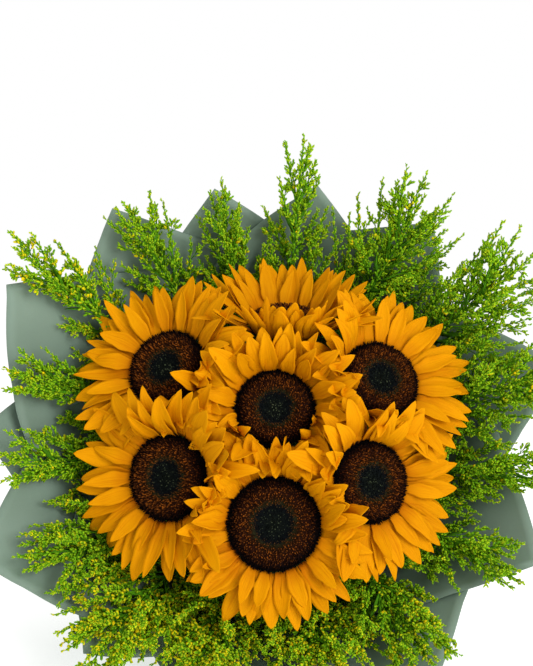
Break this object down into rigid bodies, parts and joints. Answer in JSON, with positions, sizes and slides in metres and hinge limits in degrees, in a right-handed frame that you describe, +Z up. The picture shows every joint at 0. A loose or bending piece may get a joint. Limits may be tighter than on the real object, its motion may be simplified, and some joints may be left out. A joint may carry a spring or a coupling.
{
  "type": "bunch of sunflowers",
  "caption": "Florist's bunch of golden sunflowers with goldenrod sprigs, gathered in overlapping sage green sheets of paper and tied with a ribbon band, lying on its side",
  "frame": {"origin": "on the surface the bunch lies on, under the middle of its box", "axes": "+Z up, the flowers face -Y and a little up, the cut stems point to +Y, +X is to the right as seen from in front of the flowers"},
  "size_m": [0.3844, 0.4596, 0.3637],
  "materials": {
    "disc": "matt, rough florets",
    "calyx": "matt, hairy",
    "petals": "satin",
    "stem": "matt, hairy",
    "goldenrod": "matt",
    "paper": "matt, coated",
    "twine": "matt, fibrous",
    "ribbon": "satin"
  },
  "bodies": {
    "root": {"sunflower_1_disc": "disc", "sunflower_1_calyx": "calyx", "sunflower_1_petals": "petals", "sunflower_1_stem": "stem", "sunflower_2_disc": "disc", "sunflower_2_calyx": "calyx", "sunflower_2_petals": "petals", "sunflower_2_stem": "stem", "sunflower_3_disc": "disc", "sunflower_3_calyx": "calyx", "sunflower_3_petals": "petals", "sunflower_3_stem": "stem", "sunflower_4_disc": "disc", "sunflower_4_calyx": "calyx", "sunflower_4_petals": "petals", "sunflower_4_stem": "stem", "sunflower_5_disc": "disc", "sunflower_5_calyx": "calyx", "sunflower_5_petals": "petals", "sunflower_5_stem": "stem", "sunflower_6_disc": "disc", "sunflower_6_calyx": "calyx", "sunflower_6_petals": "petals", "sunflower_6_stem": "stem", "sunflower_7_disc": "disc", "sunflower_7_calyx": "calyx", "sunflower_7_petals": "petals", "sunflower_7_stem": "stem", "goldenrod_1": "goldenrod", "goldenrod_2": "goldenrod", "goldenrod_3": "goldenrod", "goldenrod_4": "goldenrod", "goldenrod_5": "goldenrod", "goldenrod_6": "goldenrod", "goldenrod_7": "goldenrod", "goldenrod_8": "goldenrod", "goldenrod_9": "goldenrod", "goldenrod_10": "goldenrod", "goldenrod_11": "goldenrod", "goldenrod_12": "goldenrod", "goldenrod_13": "goldenrod", "goldenrod_14": "goldenrod", "goldenrod_15": "goldenrod", "goldenrod_16": "goldenrod", "paper_sheet_1": "paper", "paper_sheet_2": "paper", "paper_sheet_3": "paper", "paper_sheet_4": "paper", "paper_sheet_5": "paper", "paper_sheet_6": "paper", "paper_sheet_7": "paper", "paper_sheet_8": "paper", "paper_sheet_9": "paper", "paper_sheet_10": "paper", "paper_sheet_11": "paper", "paper_sheet_12": "paper", "binding_twine": "twine", "ribbon_band": "ribbon"}
  },
  "joints": []
}
